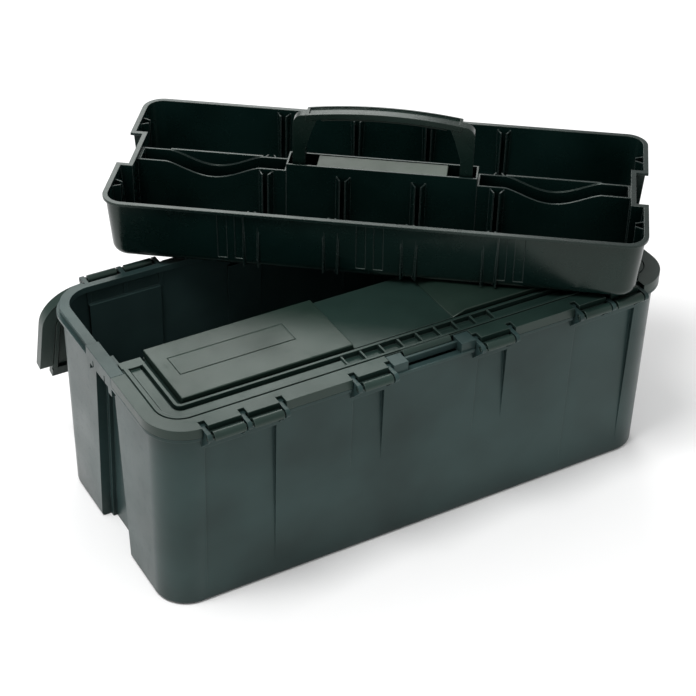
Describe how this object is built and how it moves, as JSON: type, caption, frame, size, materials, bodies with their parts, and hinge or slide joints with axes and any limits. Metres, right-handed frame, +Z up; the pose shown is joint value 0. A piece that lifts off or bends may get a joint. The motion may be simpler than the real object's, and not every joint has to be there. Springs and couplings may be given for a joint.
{
  "type": "tool box with lift-out tray",
  "caption": "Two-lid plastic tool box: deep tub, one lid closed and one hanging open, and a lift-out tray with a carrying handle.",
  "frame": {"origin": "centre of the tub's underside, on the ground", "axes": "+X along the box's length, +Z up; the closed lid is on the -Y side and the open one on the +Y side"},
  "size_m": [0.5952, 0.4602, 0.3319],
  "materials": {
    "tub_plastic": "fine moulded grain, dark green-grey",
    "lid_plastic": "fine moulded grain",
    "plate_plastic": "smooth satin",
    "pin_plastic": "satin",
    "label_plastic": "smooth satin, blank",
    "tray_plastic": "semi-gloss moulded",
    "handle_plastic": "semi-gloss moulded",
    "seat_plastic": "satin",
    "insert_plastic": "matte"
  },
  "bodies": {
    "tub": {"tub": "tub_plastic", "front_hinge_pin_1": "pin_plastic", "front_hinge_pin_2": "pin_plastic", "front_hinge_pin_3": "pin_plastic", "front_hinge_pin_4": "pin_plastic", "rear_hinge_pin_1": "pin_plastic", "rear_hinge_pin_2": "pin_plastic", "rear_hinge_pin_3": "pin_plastic", "rear_hinge_pin_4": "pin_plastic"},
    "front_lid": {"front_lid": "lid_plastic", "front_left_plate": "plate_plastic", "front_right_plate": "plate_plastic", "label_plate": "label_plastic"},
    "rear_lid": {"rear_lid": "lid_plastic", "rear_left_plate": "plate_plastic", "rear_right_plate": "plate_plastic"},
    "tray": {"tray": "tray_plastic", "handle_seat": "seat_plastic"},
    "tray_handle": {"tray_handle": "handle_plastic", "grip_insert": "insert_plastic"}
  },
  "joints": [
    {"name": "tray_lift", "type": "slide", "parent": "tub", "child": "tray", "axis": [0, 0, 1], "range_m": [0, 0.6]},
    {"name": "front_lid_hinge", "type": "hinge", "parent": "tub", "child": "front_lid", "pos_m": [0, -0.136, 0.1995], "axis": [1, 0, 0], "range_deg": [0, 253]},
    {"name": "rear_lid_hinge", "type": "hinge", "parent": "tub", "child": "rear_lid", "pos_m": [0, 0.136, 0.1995], "axis": [1, 0, 0], "range_deg": [0, 253]},
    {"name": "handle_slide", "type": "slide", "parent": "tray", "child": "tray_handle", "axis": [0, 0, 1], "range_m": [-0.038, 0]}
  ],
  "couplings": [
    {"joint": "front_lid_hinge", "follows": "tray_lift", "rad_per_m": 7.3595},
    {"joint": "rear_lid_hinge", "follows": "tray_lift", "rad_per_m": 7.3595}
  ]
}
